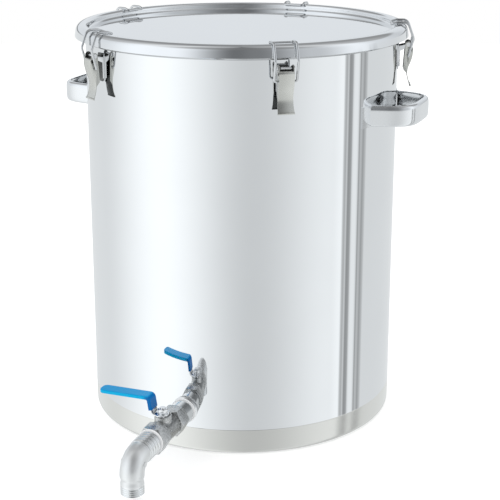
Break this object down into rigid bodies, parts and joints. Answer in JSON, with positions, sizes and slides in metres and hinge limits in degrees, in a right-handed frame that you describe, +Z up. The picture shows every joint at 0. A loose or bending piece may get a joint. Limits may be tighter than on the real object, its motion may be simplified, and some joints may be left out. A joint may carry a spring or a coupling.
{
  "type": "stainless steel tank",
  "caption": "Polished round steel tank on a flat bottom, with a lid held on its rim by wire clips, strap handles at the sides and a ball valve with a down-turned drain elbow.",
  "frame": {"origin": "middle of the tank's bottom, on the floor", "axes": "+Z up along the tank's axis, the drain pipe points along -Y, the handles are one degree off +X and -X"},
  "size_m": [0.5766, 0.6955, 0.6108],
  "materials": {
    "sheet_steel": "mirror polish",
    "clip_steel": "polished",
    "cast_steel": "satin casting",
    "turned_steel": "turned",
    "blue_plastic": "soft gloss",
    "white_tape": "matte",
    "seat_plastic": "matte",
    "gasket_rubber": "matte"
  },
  "bodies": {
    "tank": {"tank_shell": "sheet_steel", "tank_rim": "sheet_steel", "tank_bottom": "sheet_steel", "handle_left": "sheet_steel", "handle_right": "sheet_steel", "clip_base_1": "clip_steel", "clip_base_2": "clip_steel", "clip_base_3": "clip_steel", "clip_base_4": "clip_steel", "clip_base_5": "clip_steel", "clip_pin_1": "clip_steel", "clip_pin_2": "clip_steel", "clip_pin_3": "clip_steel", "clip_pin_4": "clip_steel", "clip_pin_5": "clip_steel", "drain_socket": "cast_steel", "drain_nipple": "cast_steel", "seal_tape_inlet": "white_tape", "seal_tape_outlet": "white_tape", "valve_end_piece": "cast_steel", "valve_body": "cast_steel", "valve_seat_inner": "seat_plastic", "valve_seat_outer": "seat_plastic", "stem_packing": "seat_plastic", "stem_thrust_washer": "seat_plastic", "gland_nut": "cast_steel", "outlet_elbow": "cast_steel"},
    "lid": {"lid_panel": "sheet_steel", "lid_gasket": "gasket_rubber"},
    "clip_lever_1": {"clip_lever_1": "clip_steel"},
    "clip_bail_1": {"clip_bail_1": "clip_steel"},
    "clip_lever_2": {"clip_lever_2": "clip_steel"},
    "clip_bail_2": {"clip_bail_2": "clip_steel"},
    "clip_lever_3": {"clip_lever_3": "clip_steel"},
    "clip_bail_3": {"clip_bail_3": "clip_steel"},
    "clip_lever_4": {"clip_lever_4": "clip_steel"},
    "clip_bail_4": {"clip_bail_4": "clip_steel"},
    "clip_lever_5": {"clip_lever_5": "clip_steel"},
    "clip_bail_5": {"clip_bail_5": "clip_steel"},
    "valve_lever": {"valve_lever": "turned_steel", "lever_sleeve": "blue_plastic", "lever_nut": "turned_steel", "lever_spring_washer": "turned_steel", "valve_stem": "turned_steel", "valve_ball": "turned_steel"}
  },
  "joints": [
    {"name": "lid_lift", "type": "slide", "parent": "tank", "child": "lid", "axis": [0, 0, 1], "range_m": [0, 0.25]},
    {"name": "clip_lever_1", "type": "hinge", "parent": "tank", "child": "clip_lever_1", "pos_m": [0.14346, -0.20718, 0.5755], "axis": [-0.8221, -0.5693, 0], "range_deg": [0, 120]},
    {"name": "clip_bail_1", "type": "hinge", "parent": "clip_lever_1", "child": "clip_bail_1", "pos_m": [0.1434, -0.2071, 0.5573], "axis": [-0.8221, -0.5693, 0], "range_deg": [-180, 0]},
    {"name": "clip_lever_2", "type": "hinge", "parent": "tank", "child": "clip_lever_2", "pos_m": [0.24137, 0.07241, 0.5755], "axis": [0.2874, -0.9578, 0], "range_deg": [0, 120]},
    {"name": "clip_bail_2", "type": "hinge", "parent": "clip_lever_2", "child": "clip_bail_2", "pos_m": [0.24127, 0.07239, 0.5573], "axis": [0.2874, -0.9578, 0], "range_deg": [-180, 0]},
    {"name": "clip_lever_3", "type": "hinge", "parent": "tank", "child": "clip_lever_3", "pos_m": [0.00572, 0.25194, 0.5755], "axis": [0.9997, -0.0227, 0], "range_deg": [0, 120]},
    {"name": "clip_bail_3", "type": "hinge", "parent": "clip_lever_3", "child": "clip_bail_3", "pos_m": [0.00571, 0.25183, 0.5573], "axis": [0.9997, -0.0227, 0], "range_deg": [-180, 0]},
    {"name": "clip_lever_4", "type": "hinge", "parent": "tank", "child": "clip_lever_4", "pos_m": [-0.23784, 0.08329, 0.5755], "axis": [0.3305, 0.9438, 0], "range_deg": [0, 120]},
    {"name": "clip_bail_4", "type": "hinge", "parent": "clip_lever_4", "child": "clip_bail_4", "pos_m": [-0.23774, 0.08326, 0.5573], "axis": [0.3305, 0.9438, 0], "range_deg": [-180, 0]},
    {"name": "clip_lever_5", "type": "hinge", "parent": "tank", "child": "clip_lever_5", "pos_m": [-0.15271, -0.20046, 0.5755], "axis": [-0.7955, 0.606, 0], "range_deg": [0, 120]},
    {"name": "clip_bail_5", "type": "hinge", "parent": "clip_lever_5", "child": "clip_bail_5", "pos_m": [-0.15265, -0.20038, 0.5573], "axis": [-0.7955, 0.606, 0], "range_deg": [-180, 0]},
    {"name": "valve_turn", "type": "hinge", "parent": "tank", "child": "valve_lever", "pos_m": [0, -0.3135, 0.089], "axis": [0, 0, 1], "range_deg": [0, 90]}
  ],
  "couplings": [
    {"joint": "clip_bail_1", "follows": "clip_lever_1", "ratio": -1.5},
    {"joint": "clip_bail_2", "follows": "clip_lever_2", "ratio": -1.5},
    {"joint": "clip_bail_3", "follows": "clip_lever_3", "ratio": -1.5},
    {"joint": "clip_bail_4", "follows": "clip_lever_4", "ratio": -1.5},
    {"joint": "clip_bail_5", "follows": "clip_lever_5", "ratio": -1.5}
  ]
}
